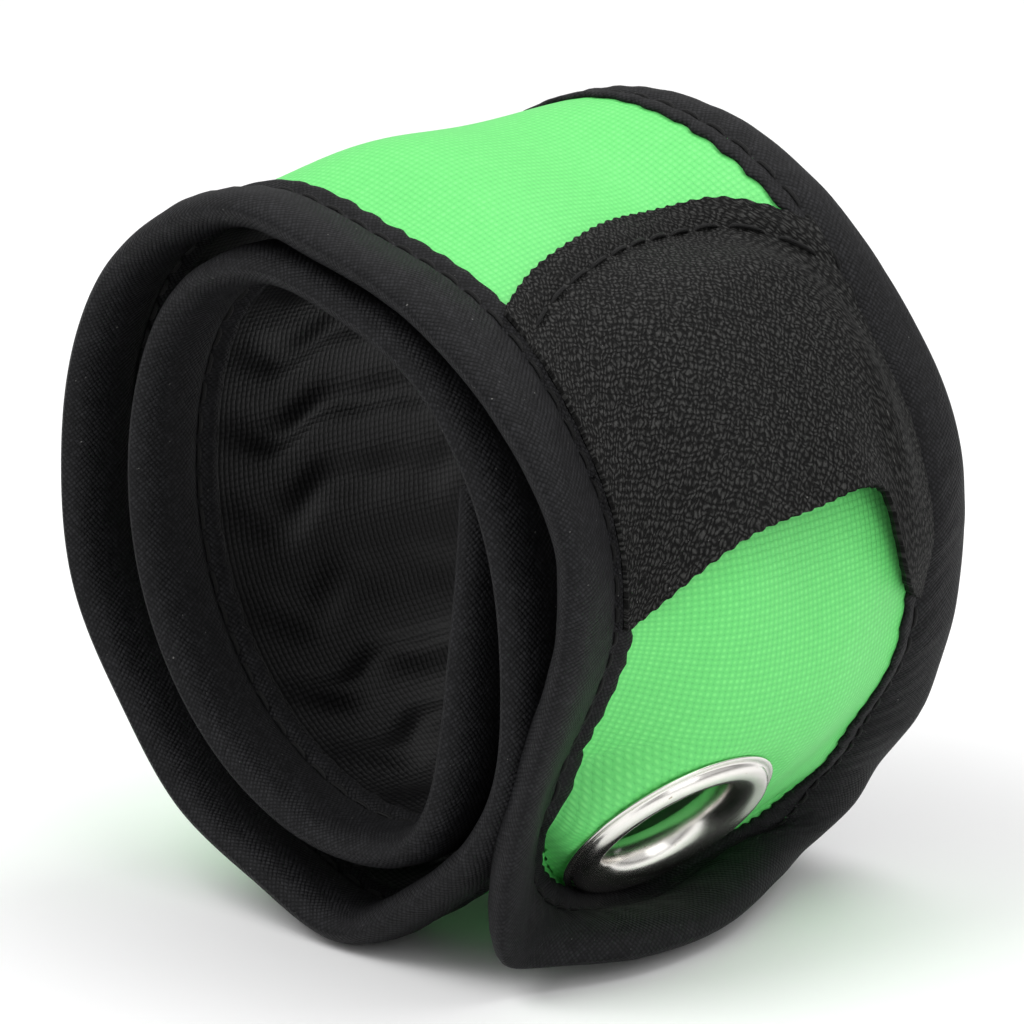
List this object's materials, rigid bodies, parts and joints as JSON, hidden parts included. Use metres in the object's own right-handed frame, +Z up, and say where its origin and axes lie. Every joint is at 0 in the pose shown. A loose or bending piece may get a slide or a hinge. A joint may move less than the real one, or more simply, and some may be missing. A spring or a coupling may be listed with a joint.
{
  "type": "roll-up fabric wrist strap",
  "caption": "Rolled wrist strap of padded fabric with bound edges, a wide elastic pocket holding a slip-in flat insert, and a plated eyelet at its outer end.",
  "frame": {"origin": "middle of the bottom of the whole part's box, on the ground the rolled strap stands on", "axes": "+Y along the axis of the roll, across the strap; +X towards the pocket and the eyelet end; +Z up"},
  "size_m": [0.0662, 0.05, 0.0635],
  "materials": {
    "cover_fabric": "coarse plain weave, slight sheen",
    "lining_fabric": "plain weave, slight sheen",
    "core_foam": "soft interlining",
    "binding_tape": "fine twill tape",
    "elastic": "knitted elastic, matte",
    "thread": "sewing thread",
    "insert": "matte",
    "nickel": "bright nickel plate"
  },
  "bodies": {
    "roll": {"outer_fabric_roll": "cover_fabric", "foam_core_roll": "core_foam", "lining_roll": "lining_fabric", "seam_thread_roll": "thread", "binding_left_roll": "binding_tape", "binding_right_roll": "binding_tape", "binding_inner_end": "binding_tape"},
    "front_panel": {"outer_fabric_panel": "cover_fabric", "foam_core_panel": "core_foam", "lining_panel": "lining_fabric", "seam_thread_panel": "thread", "binding_left_panel": "binding_tape", "binding_right_panel": "binding_tape", "elastic_pocket": "elastic", "pocket_seam_thread": "thread"},
    "end_flap": {"outer_fabric_flap": "cover_fabric", "foam_core_flap": "core_foam", "lining_flap": "lining_fabric", "seam_thread_flap": "thread", "binding_flap": "binding_tape", "eyelet": "nickel", "eyelet_washer": "nickel"},
    "insert": {"pocket_insert": "insert"}
  },
  "joints": [
    {"name": "panel_lift", "type": "hinge", "parent": "roll", "child": "front_panel", "pos_m": [0.00964, 0, 0.05833], "axis": [0, -1, 0], "range_deg": [0, 55]},
    {"name": "flap_lift", "type": "hinge", "parent": "front_panel", "child": "end_flap", "pos_m": [0.02966, 0, 0.02646], "axis": [0, -1, 0], "range_deg": [0, 75]},
    {"name": "insert_slide", "type": "slide", "parent": "front_panel", "child": "insert", "axis": [0.6733, 0, -0.7393], "range_m": [0, 0.024]}
  ]
}
